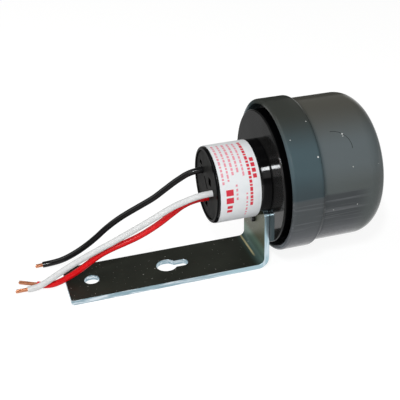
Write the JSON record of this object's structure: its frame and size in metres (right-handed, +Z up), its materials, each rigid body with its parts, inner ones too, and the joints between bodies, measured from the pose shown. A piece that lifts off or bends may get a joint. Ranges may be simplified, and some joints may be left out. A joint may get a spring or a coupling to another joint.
{
  "type": "photocell switch",
  "caption": "Twist-lock photocell switch with a domed smoke-grey cover, plugged into a black stem receptacle with coloured leads on an L-shaped steel bracket.",
  "frame": {"origin": "centre of the fixing hole on the underside of the bracket's foot", "axes": "+X along the stem's axis, from the leads towards the cap; +Z up from the foot, so the fixing hole's mount points along -Z; +Y across the foot"},
  "size_m": [0.2078, 0.0874, 0.095],
  "materials": {
    "bracket_steel": "zinc-plated strip, smooth and reflective, with bright sheared edges",
    "screw_steel": "plated screw steel",
    "stem_plastic": "glossy black moulded plastic",
    "rear_cap_plastic": "satin dark grey moulded plastic",
    "contact_brass": "formed spring brass",
    "label_paper": "white wrapped label with rows of plain red bars",
    "black_insulation": "smooth black wire insulation",
    "white_insulation": "smooth white wire insulation",
    "red_insulation": "smooth red wire insulation",
    "copper": "bright twisted copper strands",
    "cover_plastic": "glossy smoke-grey moulded plastic",
    "base_plastic": "black moulded plastic",
    "gasket_rubber": "dark closed-cell foam rubber",
    "board_laminate": "green circuit-board laminate",
    "relay_plastic": "pale relay case",
    "capacitor_plastic": "brown-red dipped capacitor",
    "varistor_plastic": "blue dipped disc",
    "sensor_plastic": "amber lacquered sensor disc"
  },
  "bodies": {
    "receptacle": {"bracket": "bracket_steel", "bracket_screw": "screw_steel", "receptacle_body": "stem_plastic", "rear_cap": "rear_cap_plastic", "receptacle_face": "stem_plastic", "line_contact": "contact_brass", "neutral_contact": "contact_brass", "load_contact": "contact_brass", "clamp_screws": "screw_steel", "label": "label_paper", "black_lead": "black_insulation", "white_lead": "white_insulation", "red_lead": "red_insulation", "black_strands": "copper", "white_strands": "copper", "red_strands": "copper"},
    "photocontrol": {"cover": "cover_plastic", "base": "base_plastic", "gasket": "gasket_rubber", "line_blade": "contact_brass", "neutral_blade": "contact_brass", "load_blade": "contact_brass", "circuit_board": "board_laminate", "board_screws": "screw_steel", "relay": "relay_plastic", "capacitor": "capacitor_plastic", "varistor": "varistor_plastic", "light_sensor": "sensor_plastic"}
  },
  "joints": [
    {"name": "twist_lock", "type": "hinge", "parent": "receptacle", "child": "photocontrol", "pos_m": [0.0984, 0, 0.0513], "axis": [1, 0, 0], "range_deg": [0, 20]}
  ]
}
